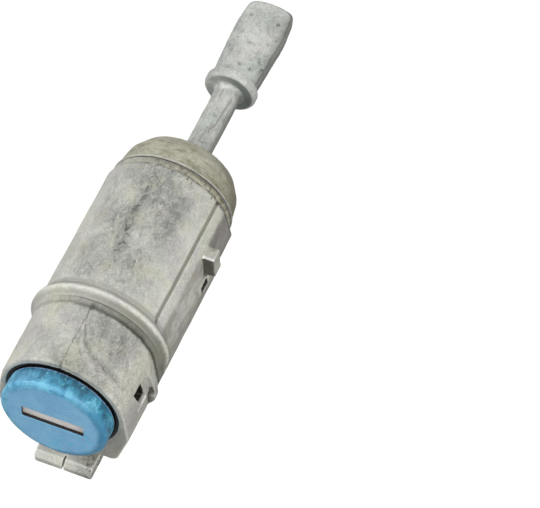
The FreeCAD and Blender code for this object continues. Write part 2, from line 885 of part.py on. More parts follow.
def upright_edges(shape, test):
    """Edges parallel to Z whose middle passes a test."""
    picked = []
    for edge in shape.Edges:
        if isinstance(edge.Curve, Part.Line):
            direction = edge.tangentAt(edge.FirstParameter)
            middle = edge.valueAt((edge.FirstParameter + edge.LastParameter) / 2)
            if abs(direction.z) > aligned and test(middle):
                picked.append(edge)
    return picked


def make_tailpiece():
    shank_y = hub_front_y + face_gap
    rod = cylinder(rod_radius, shank_y, paddle_flange_y + weld)
    neck = cone(rod_radius, rod_radius + rod_neck, paddle_flange_y - rod_neck, paddle_flange_y)
    flat_radius = paddle_flange_radius - paddle_flange_edge
    disc = revolve([
        (paddle_flange_y, 0),
        (paddle_flange_y, flat_radius),
        (paddle_flange_y + paddle_flange_edge, paddle_flange_radius),
        (paddle_root_y, paddle_flange_radius),
        (paddle_root_y, 0),
    ])
    blade = make_paddle()
    blade.rotate(V(0, 0, 0), AXIS, paddle_turn)
    return rod.fuse([neck, disc, blade]).cut(cross_pin_shape(running))


def build():
    os.makedirs("parts", exist_ok=True)
    save("housing", make_housing())
    save("rear_cap", make_rear_cap())
    save("front_seal", make_front_seal())
    save("front_cap", make_front_cap())
    save("plug", make_plug())
    save("sleeve", make_sleeve())
    save("retaining_clip", make_clip())
    save("shutter_flap", make_shutter_flap())
    save("shutter_pin", make_shutter_pin())
    save("shutter_spring", make_shutter_spring())
    save("driver", make_driver())
    save("cross_pin", make_cross_pin())
    save("rear_washer", make_rear_washer())
    save("return_spring", make_return_spring())
    save("tailpiece", make_tailpiece())
    for index in range(wafer_count):
        number = str(index + 1)
        save("wafer_" + number, make_wafer(index))
        save("wafer_spring_" + number, make_wafer_spring(index))


build()
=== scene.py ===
import math

import bpy
import numpy as np
from mathutils import Matrix, Vector, noise


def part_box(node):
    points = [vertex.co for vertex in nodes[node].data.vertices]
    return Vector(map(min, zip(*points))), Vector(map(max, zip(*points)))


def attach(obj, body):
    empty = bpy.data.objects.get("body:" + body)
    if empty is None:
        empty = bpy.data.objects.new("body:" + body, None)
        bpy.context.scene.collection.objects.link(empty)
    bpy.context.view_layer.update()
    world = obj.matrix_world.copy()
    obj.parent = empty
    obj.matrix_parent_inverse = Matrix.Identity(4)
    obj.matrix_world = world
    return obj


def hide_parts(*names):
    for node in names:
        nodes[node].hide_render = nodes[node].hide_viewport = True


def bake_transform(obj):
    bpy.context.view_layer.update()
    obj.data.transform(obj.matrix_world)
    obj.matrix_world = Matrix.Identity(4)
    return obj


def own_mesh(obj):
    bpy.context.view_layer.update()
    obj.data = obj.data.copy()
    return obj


# Looks of the car door lock. Sizes are in millimetres unless a name says otherwise.
# The lock's axis is Y, the key side is towards -Y, +Z is up.
# Angles are about the axis, in degrees from the top towards +X.

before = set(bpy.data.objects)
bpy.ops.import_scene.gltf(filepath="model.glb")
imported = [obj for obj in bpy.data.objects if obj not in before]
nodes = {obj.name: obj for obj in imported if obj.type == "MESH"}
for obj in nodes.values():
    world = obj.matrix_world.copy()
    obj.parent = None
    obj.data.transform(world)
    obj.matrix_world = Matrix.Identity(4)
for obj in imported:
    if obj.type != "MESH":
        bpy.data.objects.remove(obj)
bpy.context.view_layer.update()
WAFERS = range(1, 9)
MM = 1000.0  # millimetres in a metre

# Stations along the axis
LIP_Y = -13.2
RIM_Y = -16.1
FLANGE_FRONT_Y = -1.2
BARREL_END_Y = 25.3
CAP_FACE_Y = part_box("front_cap")[0].y * MM
CAP_SIDE_END_Y = LIP_Y - 0.15
HOUSING_END_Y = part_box("housing")[1].y * MM
DISC_FRONT_Y = 49.15
DISC_REAR_Y = 50.65

# Front cap, from its flat face out to its rim
CAP_BEVEL_RADII = (6.9, 7.9)
CAP_OUTER_RADIUS = 7.3  # its skin is uneven from here on
CAP_RIM_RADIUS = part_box("front_cap")[1].x * MM
CAP_SIDE_STEP = 0.42  # from the rim inwards, past the step down to the side
CAP_SIDE_GAP = 0.03  # left between the filled-out side and the rim

# Housing's skin: the radii where its relief, its marks and the knob's swelling begin
SKIN_RADIUS = 9.55
OUTSIDE_RADIUS = 9.75
KNOB_FOOT_RADIUS = 10.2

# Flange, as stations along the axis, and the radius of its crest
COVE_Y = (-2.0, -0.12)
CREST_Y, CREST_RADIUS = 0.3, 10.7
RUN_OUT_Y = (0.7, 2.2)
BEHIND_CREST_Y = 1.0

# Collar: a seam on top, a burr at its foot, a notch in the lip, and a curved crease
# that runs forwards as it turns away from the seam
COLLAR_REAR_Y = -2.4
COLLAR_SHADE_ANGLE = 12.0
SEAM_ANGLE, SEAM_DEPTH, SEAM_WIDTH = 0.5, 0.07, 0.14
SEAM_REAR_Y = -1.4
FLAW_REACH = 70  # degrees each way within which seam and crease are cut
BURR_ANGLE, BURR_Y, BURR_DEPTH = 1.8, -1.7, 0.16
NOTCH_Y, NOTCH_DEPTH = LIP_Y + 0.4, 0.12
CREASE_START = -3.2
CREASE_RUN = 7.3
CREASE_TURN = 9.0
CREASE_DEPTH, CREASE_WIDTH = 0.09, 1.0
CREASE_ANGLES = (1.0, 62.0)

# Barrel, rail and foot. A tick is a short dark mark, given as angle, start and end.
# The smear leans by some degrees in each millimetre
TICKS = ((44.0, 25.4, 26.7), (21.0, 24.8, 25.8), (47.5, 24.6, 25.5))
SMEAR_ANGLE, SMEAR_LEAN, SMEAR_Y, HALO_Y = -1.3, 0.25, (6.0, 24.0), (4.0, 25.0)
STAIN_ANGLE, STAIN_Y = 27.0, (14.5, 22.0)
GROOVE_ANGLES, GROOVE_Y = (53.85, 57.5), (1.5, BARREL_END_Y)
FACET_ANGLE, FACET_FRONT_Y, FACET_DULL_Y = 68.0, 0.9, 18.8
RAIL_ANGLES = (56, 104)
UNDERSIDE_ANGLES = (97, 174)
FOOT_BOTTOM_Z, FOOT_DIRT_AND_SHADE_X = -13.9, (1.5, 4.6)

# Wear: the angle of its middle, how full it is there and how slowly it fades
BARREL_WEAR = (-4, 1.35, 40)
COLLAR_WEAR = (24, 1.3, 60)
COLLAR_WEAR_SHARE = 0.88

# Catch, with a ramp down to a floor in front of it
RAMP_SOFTNESS = 0.25  # height over which a ramp's upper and lower sides ease in
CATCH_FRONT_Y = 16.5
CATCH_Z = (-0.5, 3.5)
CATCH_FACE_X, CATCH_RIM_X = 9.4, 9.7
CATCH_RAMP = 2.2
CATCH_FLOOR_X = 9.95

# Hook's end knob, with a ramp of its own
KNOB_FRONT_Y = -4.6
KNOB_REAR_Y = -3.3
KNOB_Z = (-5.6, -1.9)
KNOB_FACE_X = 9.5
KNOB_RAMP = 1.6
KNOB_FLOOR_X = 9.9
KNOB_ANGLE = 113.0
KNOB_SPREAD = 9.0
KNOB_RISE = 0.5

# Insides of the small slot, the window and the key slot, which get painted shade, and the
# window's foot, which gets a painted highlight. The key slot is given by half its width and height
SLOT_X, SLOT_Y, SLOT_Z = (8.3, 10.66), (13.7, 16.1), (-1.85, -0.45)
WINDOW_Y, WINDOW_ANGLES, WINDOW_RADII = (-10.0, -5.0), (65, 115), (8.4, 9.85)
WINDOW_FOOT_X, WINDOW_FOOT_Y, WINDOW_FOOT_Z = 8.9, (-9.2, -5.2), -1.95
KEY_SLOT_X, KEY_SLOT_Z = 5.05, 1.27

# Tailpiece: its neck and disc by radius, the paddle's flank, upper edge and dark tip
NECK_RADIUS = 3.2
DISC_RING_RADII = (2.5, 3.85)
PADDLE_FLANK_X = 1.0
PADDLE_EDGE_Z = 0.95
PADDLE_TIP_Y = 66.2

# Hollows in the tailpiece's top side, as X and Y, and how wide and deep they are
PADDLE_PITS = ((-2.3, 63.8), (2.2, 63.7), (-0.5, 58.7), (-0.3, 54.2), (1.5, 53.9))
PADDLE_CHIP = (-3.4, 60.6)
ROD_PITS = ((0.3, 40.3), (0.4, 42.9), (0.6, 37.5))
FINE_PITS_FROM = (-3.5, DISC_REAR_Y + 1)
FINE_PITS_TO = (3.5, 66.0)
FINE_PITS = 12
PIT_REACH, ROD_PIT_REACH, FINE_PIT_REACH, PIT_DEPTH = 0.34, 0.3, 0.2, 0.14
CHIP_REACH, CHIP_DEPTH = 0.9, 0.16
TOP_SIDE_Z = 0.9

# Voxels of the eased forms, and how many triangles each piece may keep
HOUSING_VOXEL, HOUSING_FACES = 0.15, 195000
REAR_CAP_VOXEL, REAR_CAP_FACES = 0.13, 120000
TAILPIECE_VOXEL, TAILPIECE_FACES = 0.10, 150000
FRONT_CAP_VOXEL, FRONT_CAP_FACES = 0.10, 120000
EASING_ROUNDS = 2

# Painted highlights on edges and painted shade in hollows begin at these bulges. A bulge is how
# far a point stands out from between its neighbours, in voxels
EDGE_BULGE = 0.04
HOLLOW_BULGE = 0.035
BULGE_GAIN = 12

# Gloss of the castings
CAST_METALLIC = 0.2
CAST_ROUGHNESS = (0.32, 0.58)

# Camera, placed as the photograph was taken
CAMERA_TURN = math.radians(22.77967)
CAMERA_HEIGHT = math.radians(54.62849)
CAMERA_RIGHT = 31.63538518
CAMERA_UP = 24.09389122
CAMERA_DISTANCE = 584.66030938
CAMERA_SENSOR = 36
PHOTO_WIDTH = 540
FOCAL_LENGTH = 4000  # in pixels of the photograph
CAMERA_LENS = FOCAL_LENGTH / PHOTO_WIDTH * CAMERA_SENSOR
CAMERA_FAR = 10  # metres

# Lamps, floor and backdrop
LAMP_SIZE = 200
LAMP_TARGET = (0, 20, 0)
FLOOR_Z = -62.0
FLOOR_SIZE = 3000.0
FLOOR_TONE = 0.30
FLOOR_GLOW = 0.74
WORLD_STRENGTH = 0.44


def aim():
    """Unit vectors to the right, up and back of the camera."""
    back = Vector((
        math.sin(CAMERA_TURN) * math.cos(CAMERA_HEIGHT),
        -math.cos(CAMERA_TURN) * math.cos(CAMERA_HEIGHT),
        math.sin(CAMERA_HEIGHT),
    ))
    right = Vector((math.cos(CAMERA_TURN), math.sin(CAMERA_TURN), 0))
    return right, back.cross(right), back


def make_camera():
    right, up, back = aim()
    place = right * CAMERA_RIGHT + up * CAMERA_UP + back * CAMERA_DISTANCE
    place += Vector((0, RIM_Y, 0))
    data = bpy.data.cameras.new("camera")
    data.lens = CAMERA_LENS
    data.sensor_width = CAMERA_SENSOR
    data.clip_end = CAMERA_FAR
    camera = bpy.data.objects.new("camera", data)
    turn = Matrix((right, up, back)).transposed().to_4x4()
    camera.matrix_world = Matrix.Translation(place / MM) @ turn
    bpy.context.scene.collection.objects.link(camera)
    bpy.context.scene.camera = camera


def make_lamp(name, place, watts):
    """Square soft lamp aimed at the middle of the lock."""
    data = bpy.data.lights.new(name, "AREA")
    data.shape = "SQUARE"
    data.size = LAMP_SIZE / MM
    data.energy = watts
    lamp = bpy.data.objects.new(name, data)
    lamp.location = Vector(place) / MM
    towards = Vector(LAMP_TARGET) / MM - lamp.location
    lamp.rotation_euler = towards.to_track_quat("-Z", "Y").to_euler()
    bpy.context.scene.collection.objects.link(lamp)


def colour(red, green, blue):
    """Linear colour of an sRGB one given from 0 to 255."""
    parts = []
    for part in (red, green, blue):
        value = part / 255
        parts.append(value / 12.92 if value <= 0.04045 else ((value + 0.055) / 1.055) ** 2.4)
    return (*parts, 1.0)


TONES = {
    # Every casting
    "grain_dark": colour(140, 141, 133),
    "grain_pale": colour(232, 232, 224),
    "fleck_pale": colour(226, 227, 220),
    "fleck_dark": colour(92, 94, 90),
    # Painted highlight, for glints and bright rims
    "painted_highlight": colour(240, 240, 236),
    "streak": colour(100, 101, 96),
    "pit": colour(98, 98, 90),
    # Painted shade in inner corners
    "hollow_shade": colour(74, 72, 64),
    "dirt": colour(52, 50, 44),
    # Painted highlight on convex edges
    "edge": colour(232, 232, 226),
    # Housing
    # Painted shade in the flange's cove and at its foot
    "cove_shade": colour(112, 112, 100),
    "cove_foot_shade": colour(58, 60, 46),
    # Painted shade on the flange's run-out and behind its crest
    "run_out_shade": colour(136, 137, 128),
    "shade_behind_crest": colour(112, 112, 104),
    "olive_dark": colour(112, 107, 86),
    "olive_pale": colour(190, 187, 166),
    "end_line": colour(86, 80, 64),
    "cap_shade": colour(70, 66, 52),
    "tick": colour(70, 66, 54),
    # Stain and painted shade on the rail's side facet
    "facet": colour(120, 114, 98),
    "facet_end": colour(104, 96, 100),
    # Painted shade on the underside
    "underside_shade": colour(100, 96, 90),
    "groove": colour(116, 112, 94),
    "rail_end": colour(40, 34, 30),
    # Painted shade on the fronts of catch and knob
    "catch_face": colour(74, 71, 62),
    "knob_face": colour(70, 64, 58),
    # Painted highlight on the window's foot, then painted shade in the small slot and the window
    "window_rim_highlight": colour(240, 238, 232),
    "slot_shade": colour(24, 22, 18),
    "window_shade": colour(34, 31, 24),
    "seam": colour(88, 88, 80),
    # Painted shade and highlight along the collar's crease
    "crease_shade": colour(104, 104, 94),
    "crease_highlight": colour(236, 234, 226),
    "smear": colour(76, 78, 75),
    "smear_halo": colour(120, 122, 118),
    "stain": colour(108, 111, 110),
    "collar_shade": colour(120, 122, 112),
    # Painted light on the collar's right side
    "collar_lit_side": colour(222, 220, 206),
    "swirl": colour(116, 116, 104),
    # Dirt and painted shade on the foot
    "foot_dirt_and_shade": colour(66, 64, 58),
    # Rear cap
    "band_pale": colour(206, 204, 188),
    "band_dark": colour(128, 124, 98),
    # Painted shade on the right and a painted highlight on the lip
    "cap_right_shade": colour(104, 100, 78),
    "cap_lip_highlight": colour(206, 202, 172),
    # Tailpiece
    "rod_streak": colour(136, 132, 122),
    # Painted shade on the rod's right side, a painted highlight at its neck and painted shade on
    # the disc
    "rod_side_shade": colour(82, 80, 72),
    "neck_highlight": colour(240, 243, 240),
    "disc_face_shade": colour(92, 102, 96),
    # Painted shade on the paddle's flank, and a dark line along its upper edge
    "paddle_flank_shade": colour(112, 114, 108),
    "paddle_edge_line": colour(84, 86, 80),
    "paddle_tip": colour(96, 90, 98),
    # Front cap
    "face": colour(122, 182, 224),
    "face_other": colour(134, 194, 230),
    "face_patch": colour(92, 190, 230),
    "face_scuff": colour(180, 222, 242),
    "side_dark": colour(28, 88, 112),
    "side_mid": colour(58, 140, 172),
    # Painted light: the side's tones as lit at the left
    "lit_dark": colour(60, 126, 166),
    "lit_pale": colour(104, 174, 208),
    "side_pale": colour(120, 204, 224),
    "side_streak": colour(132, 212, 230),
    # Painted shade towards the collar, and a painted highlight on the rear edge
    "side_deep_shade": colour(18, 60, 84),
    "rear_edge_highlight": colour(160, 178, 214),
    "bevel_dark": colour(76, 150, 190),
    "bevel_pale": colour(118, 192, 222),
    # Painted shade on the bevel's right side
    "bevel_right_shade": colour(50, 122, 160),
    # Painted shade in the gap behind the cap and inside its key slot
    "cap_gap_shade": colour(22, 21, 22),
    "key_slot_shade": colour(30, 26, 26),
}


class Graph:
    """Short way to write a material's nodes, in millimetres on the object."""

    def __init__(self, name):
        self.material = bpy.data.materials.new(name)
        self.material.use_nodes = True
        self.tree = self.material.node_tree
        self.tree.nodes.clear()
        self.shader = self.add("ShaderNodeBsdfPrincipled")
        output = self.add("ShaderNodeOutputMaterial")
        self.join(self.shader.outputs[0], output.inputs[0])
        coords = self.add("ShaderNodeTexCoord")
        self.place = self.stretch(coords.outputs["Object"], (MM, MM, MM))
        parts = self.add("ShaderNodeSeparateXYZ")
        self.join(self.place, parts.inputs[0])
        self.x, self.y, self.z = parts.outputs

    def add(self, kind, **settings):
        node = self.tree.nodes.new(kind)
        for key, value in settings.items():
            setattr(node, key, value)
        return node

    def join(self, source, target):
        self.tree.links.new(source, target)

    def put(self, socket, value):
        if hasattr(value, "is_output"):
            self.join(value, socket)
        else:
            socket.default_value = value

    def stretch(self, vector, scale):
        node = self.add("ShaderNodeMapping")
        self.join(vector, node.inputs["Vector"])
        node.inputs["Scale"].default_value = scale
        return node.outputs[0]

    def noise(self, scale, detail=4.0, rough=0.55, twist=0.0, stretch=None):
        """Noise round 0.5. A stretch under 1 draws it out along that axis."""
        node = self.add("ShaderNodeTexNoise")
        vector = self.stretch(self.place, stretch) if stretch else self.place
        self.join(vector, node.inputs["Vector"])
        node.inputs["Scale"].default_value = scale
        node.inputs["Detail"].default_value = detail
        node.inputs["Roughness"].default_value = rough
        node.inputs["Distortion"].default_value = twist
        return node.outputs["Fac"]

    def attribute(self, name):
        return self.add("ShaderNodeAttribute", attribute_name=name).outputs["Fac"]

    def range(self, value, low, high, to_low=0.0, to_high=1.0):
        """Smooth step from to_low at low to to_high at high."""
        node = self.add("ShaderNodeMapRange", interpolation_type="SMOOTHSTEP")
        self.put(node.inputs["Value"], value)
        node.inputs["From Min"].default_value = low
        node.inputs["From Max"].default_value = high
        node.inputs["To Min"].default_value = to_low
        node.inputs["To Max"].default_value = to_high
        return node.outputs[0]

    def math(self, operation, a, b=0.0):
        node = self.add("ShaderNodeMath", operation=operation)
        self.put(node.inputs[0], a)
        self.put(node.inputs[1], b)
        return node.outputs[0]

    def plus(self, a, b):
        return self.math("ADD", a, b)

    def times(self, *values):
        total = values[0]
        for value in values[1:]:
            total = self.math("MULTIPLY", total, value)
        return total

    def mix(self, factor, a, b):
        node = self.add("ShaderNodeMix", data_type="RGBA")
        self.put(node.inputs[0], factor)
        self.put(node.inputs[6], a)
        self.put(node.inputs[7], b)
        return node.outputs[2]

    def lay(self, base, tone, *masks):
        """The base with a named tone laid over it where all masks are 1."""
        return self.mix(self.times(*masks), base, TONES[tone])

    def between(self, value, low, high, tone_low, tone_high):
        """One named tone at a low value and another at a high one."""
        return self.mix(self.range(value, low, high), TONES[tone_low], TONES[tone_high])

    def angle(self):
        turn = self.math("ARCTAN2", self.x, self.z)
        return self.math("MULTIPLY", turn, math.degrees(1))

    def radius(self):
        squares = self.plus(self.times(self.x, self.x), self.times(self.z, self.z))
        return self.math("SQRT", squares)

    def wobble(self, value, scale, size):
        """The value, shifted to and fro by some noise."""
        shift = self.math("SUBTRACT", self.noise(scale, 4, 0.6), 0.5)
        return self.plus(value, self.times(shift, size * 2))

    def past(self, value, edge, soft):
        """0 before an edge and 1 after it."""
        return self.range(value, edge - soft, edge + soft)

    def before(self, value, edge, soft):
        return self.range(value, edge - soft, edge + soft, 1.0, 0.0)

    def within(self, value, low, high, soft):
        """1 between two edges and 0 outside them."""
        return self.times(self.past(value, low, soft), self.before(value, high, soft))

    def line(self, value, centre, half):
        """1 at a value and 0 at half a width from it."""
        away = self.math("ABSOLUTE", self.math("SUBTRACT", value, centre))
        return self.range(away, 0.0, half, 1.0, 0.0)

    def bump(self, height, strength, distance):
        node = self.add("ShaderNodeBump")
        self.join(height, node.inputs["Height"])
        node.inputs["Strength"].default_value = strength
        node.inputs["Distance"].default_value = distance / MM
        self.join(node.outputs[0], self.shader.inputs["Normal"])


def cast_metal(name, pale, grey, tints, marks):
    """Die-cast metal: mottled greys, faint tints, smears, flecks, pits and dirt, with painted
    glints, painted shade in inner corners and painted highlights on convex edges.
    """
    g = Graph(name)
    worn = g.attribute("worn")
    base = g.mix(g.range(g.noise(0.24, 5, 0.6, 0.5), 0.40, 0.66, 0.0, 0.40), pale, grey)
    for shift, tint in enumerate(tints):
        patch = g.noise(0.15 + 0.07 * shift, 3, 0.5, 0.4)
        base = g.mix(g.range(patch, 0.50, 0.68, 0.0, 0.5), base, tint)
    grain = g.noise(2.6, 5, 0.72, 0.3)
    base = g.lay(base, "grain_dark", g.range(grain, 0.50, 0.72, 0.0, 0.40))
    base = g.lay(base, "grain_pale", g.range(grain, 0.50, 0.30, 0.0, 0.45))
    base = g.mix(g.times(worn, 0.15), base, grey)
    wisps = g.noise(0.60, 8, 0.68, 1.1, (1.0, 0.55, 1.0))
    base = g.mix(g.times(worn, g.range(wisps, 0.42, 0.58, 0.0, 0.85)), base, grey)
    flecks = g.noise(1.25, 9, 0.78, 1.8, (1.0, 0.55, 1.0))
    base = g.lay(base, "fleck_pale", worn, g.range(flecks, 0.54, 0.66, 0.0, 0.85))
    base = g.lay(base, "fleck_dark", worn, g.range(flecks, 0.48, 0.36, 0.0, 0.85))
    # Painted highlights: small glints on the worn parts
    glints = g.range(g.noise(2.4, 3, 0.6), 0.62, 0.70, 0.0, 0.9)
    base = g.lay(base, "painted_highlight", worn, glints)
    streaks = g.noise(1.5, 5, 0.66, 0.8, (1.0, 0.16, 1.0))
    base = g.lay(base, "streak", worn, g.range(streaks, 0.60, 0.70, 0.0, 0.55))
    base = g.lay(base, "pit", g.range(g.noise(4.2, 3, 0.6), 0.64, 0.74, 0.0, 0.5))
    base = marks(g, base)
    # Painted shade in inner corners
    base = g.lay(base, "hollow_shade", g.attribute("hollow_shade"), 0.5)
    base = g.lay(base, "dirt", g.attribute("dirt"))
    # Painted highlights on convex edges
    base = g.lay(base, "edge", g.attribute("edge"), 0.6)
    g.join(base, g.shader.inputs["Base Color"])
    g.shader.inputs["Metallic"].default_value = CAST_METALLIC
    gloss = g.range(g.noise(0.9, 6, 0.65), 0.3, 0.7, *CAST_ROUGHNESS)
    g.join(gloss, g.shader.inputs["Roughness"])
    relief = g.times(g.plus(flecks, wisps), 3.0, g.plus(worn, 0.12))
    g.bump(g.plus(relief, g.times(grain, 0.8)), 0.9, 0.16)
    return g.material


def flange_marks(g, base, angle, outside, rough_y):
    """Painted shade in the cove, darkest at its foot, a painted highlight on the crest, and
    painted shade on the run-out and behind the crest.
    """
    rightward = g.range(angle, -60, 50, 0.30, 1.0)
    # Painted shade in the cove, deeper towards the right, and darker still at its foot
    cove_shade = g.within(rough_y, *COVE_Y, 0.3)
    base = g.lay(base, "cove_shade", cove_shade, outside, rightward, 0.8)
    cove_foot_shade = g.line(rough_y, COVE_Y[0], 0.55)
    base = g.lay(base, "cove_foot_shade", cove_foot_shade, outside, rightward, 0.95)
    on_crest = g.past(g.radius(), CREST_RADIUS, 0.1)
    # Painted highlight along the crest
    base = g.lay(base, "edge", g.line(rough_y, CREST_Y, 0.4), on_crest, 0.5)
    # Painted shade on the run-out and just behind the crest
    base = g.lay(base, "run_out_shade", g.within(rough_y, *RUN_OUT_Y, 0.4), outside, 0.25)
    return g.lay(base, "shade_behind_crest", g.line(rough_y, BEHIND_CREST_Y, 0.5), outside, 0.5)


def rear_band_marks(g, base, angle, rough_y):
    """Olive band at the barrel's end, fuller to the right as partly painted shade, its broken
    front line, ticks and the cap's shade.
    """
    mottle = g.noise(1.1, 6, 0.7)
    olive = g.between(mottle, 0.36, 0.60, "olive_dark", "olive_pale")
    band = g.past(g.wobble(g.y, 0.7, 0.9), BARREL_END_Y + 0.2, 0.4)
    # Olive band, laid on more fully towards the right, where it is partly painted shade
    base = g.mix(g.times(band, g.range(angle, -50, 40, 0.35, 0.95)), base, olive)
    broken = g.range(g.noise(0.7, 3, 0.6), 0.42, 0.58)
    end_line = g.line(rough_y, BARREL_END_Y + 0.15, 0.5)
    base = g.lay(base, "end_line", end_line, g.range(angle, -30, 60, 0.3, 0.8), broken)
    shade = g.line(rough_y, HOUSING_END_Y, 0.8)
    base = g.lay(base, "cap_shade", shade, g.range(angle, -50, 30, 0.2, 0.9))
    for tick, start, end in TICKS:
        across = g.line(g.wobble(angle, 1.5, 0.8), tick, 1.1)
        base = g.lay(base, "tick", across, g.within(g.y, start, end, 0.15), 0.8)
    return base


def rail_marks(g, base, angle, outside):
    """Side facet darkened by a mottled stain and by painted shade, painted shade on the underside,
    shaded groove and dark rear end.
    """
    # The right-hand facet is darkened, partly as a mottled stain and partly as painted shade
    facet = g.times(
        g.past(g.wobble(angle, 0.5, 3.0), FACET_ANGLE, 4.0),
        g.past(g.y, FACET_FRONT_Y, 0.4),
        g.before(g.y, BARREL_END_Y, 0.1),
    )
    stain = g.range(g.noise(0.5, 6, 0.7, 0.6, (1.0, 0.4, 1.0)), 0.38, 0.60, 0.1, 0.55)
    base = g.lay(base, "facet", facet, stain)
    base = g.lay(base, "facet_end", facet, g.past(g.y, FACET_DULL_Y, 1.0), 0.55)
    # Painted shade on the underside
    base = g.lay(base, "underside_shade", g.within(angle, *UNDERSIDE_ANGLES, 8), 0.35)
    groove = g.times(g.within(angle, *GROOVE_ANGLES, 0.35), g.within(g.y, *GROOVE_Y, 0.2))
    base = g.lay(base, "groove", groove, outside, 0.62)
    rail_end = g.line(g.y, BARREL_END_Y + 0.1, 0.75)
    return g.lay(base, "rail_end", rail_end, g.within(angle, *RAIL_ANGLES, 2), 0.95)


def side_marks(g, base, angle, radius):
    """Painted shade on the fronts of catch and knob, painted highlights on the rims of catch and
    window, and painted shade in the openings.
    """
    catch_front = g.within(g.y, CATCH_FRONT_Y - 0.35, CATCH_FRONT_Y + 0.16, 0.06)
    catch_high = g.within(g.z, *CATCH_Z, 0.08)
    base = g.lay(base, "catch_face", catch_front, catch_high, g.past(g.x, CATCH_FACE_X, 0.1), 0.85)
    catch_rim = g.within(g.y, CATCH_FRONT_Y - 0.1, CATCH_FRONT_Y + 0.4, 0.1)
    catch_top = g.past(g.z, CATCH_Z[1] + 0.02, 0.05)
    # Painted highlight on the catch's upper rim
    base = g.lay(base, "painted_highlight", catch_rim, catch_top, g.past(g.x, CATCH_RIM_X, 0.1), 0.8)
    knob_front = g.within(g.y, KNOB_FRONT_Y - 0.3, KNOB_FRONT_Y + 0.16, 0.06)
    knob_high = g.within(g.z, KNOB_Z[0], KNOB_Z[1] + 0.5, 0.15)
    base = g.lay(base, "knob_face", knob_front, knob_high, g.past(g.x, KNOB_FACE_X, 0.1), 0.85)
    window_foot = g.times(
        g.within(g.y, *WINDOW_FOOT_Y, 0.1),
        g.line(g.z, WINDOW_FOOT_Z, 0.28),
    )
    # Painted highlight on the window's foot
    base = g.lay(base, "window_rim_highlight", window_foot, g.past(g.x, WINDOW_FOOT_X, 0.2), 0.9)
    # Painted shade inside the small slot and the window
    slot_shade = g.times(g.within(g.y, *SLOT_Y, 0.1), g.within(g.z, *SLOT_Z, 0.1))
    base = g.lay(base, "slot_shade", slot_shade, g.within(g.x, *SLOT_X, 0.06))
    window_shade = g.times(g.within(g.y, *WINDOW_Y, 0.2), g.within(angle, *WINDOW_ANGLES, 3))
    return g.lay(base, "window_shade", window_shade, g.within(radius, *WINDOW_RADII, 0.08))


def seam_marks(g, base, angle, outside, patchy):
    """Broken dark seam on top of the collar, and painted shade and a painted highlight along the
    crease that curves off it.
    """
    broken = g.range(g.noise(0.8, 3, 0.6), 0.30, 0.60, 0.25, 0.9)
    seam = g.line(g.wobble(angle, 0.8, 0.9), SEAM_ANGLE, 0.75)
    base = g.lay(base, "seam", seam, g.before(g.y, SEAM_REAR_Y, 0.3), outside, broken)
    decay = g.math("POWER", math.e, g.times(angle, -1 / CREASE_TURN))
    path = g.plus(g.times(decay, CREASE_RUN), CREASE_START - CREASE_RUN)
    off_path = g.math("SUBTRACT", g.wobble(g.y, 0.7, 0.5), path)
    crease = g.times(g.within(angle, *CREASE_ANGLES, 2.0), outside, patchy)
    # Painted shade on one side of the crease and a painted highlight on the other
    base = g.lay(base, "crease_shade", g.line(off_path, 0.35, 1.0), crease, 0.75)
    return g.lay(base, "crease_highlight", g.line(off_path, -0.7, 1.1), crease, 0.7)


def smear_marks(g, base, angle, patchy):
    """Dark smear of dashes along the barrel's top, with a halo, and a stain beside it."""
    smear_angle = g.plus(g.wobble(angle, 0.35, 8.0), g.times(g.y, SMEAR_LEAN))
    dashes = g.range(g.noise(1.3, 6, 0.75, 1.0, (1.0, 0.6, 1.0)), 0.45, 0.60)
    smear = g.times(g.line(smear_angle, SMEAR_ANGLE, 8.0), g.within(g.y, *SMEAR_Y, 2.5))
    base = g.lay(base, "smear", smear, dashes)
    halo = g.times(g.line(smear_angle, SMEAR_ANGLE, 16.0), g.within(g.y, *HALO_Y, 2.5))
    base = g.lay(base, "smear_halo", halo, 0.25)
    stain = g.line(g.wobble(angle, 0.4, 9.0), STAIN_ANGLE, 12.0)
    along = g.within(g.wobble(g.y, 0.5, 2.0), *STAIN_Y, 1.5)
    return g.lay(base, "stain", stain, along, patchy, 0.75)


def collar_marks(g, base, angle, outside):
    """Shade on top of the collar, painted light on its right side and casting swirls."""
    on_collar = g.times(g.before(g.y, COLLAR_REAR_Y, 0.4), outside)
    base = g.lay(base, "collar_shade", on_collar, g.line(angle, COLLAR_SHADE_ANGLE, 34.0), 0.2)
    # Painted light on the collar's right side
    right_side = g.times(g.past(angle, 50.0, 14.0), g.before(angle, 84.0, 8.0))
    base = g.lay(base, "collar_lit_side", on_collar, right_side, 0.4)
    swirl = g.line(g.noise(0.55, 6, 0.62, 2.2), 0.5, 0.035)
    rightmost = g.times(g.range(angle, -10, 60, 0.1, 0.5), g.before(angle, 95, 8))
    return g.lay(base, "swirl", swirl, on_collar, rightmost)


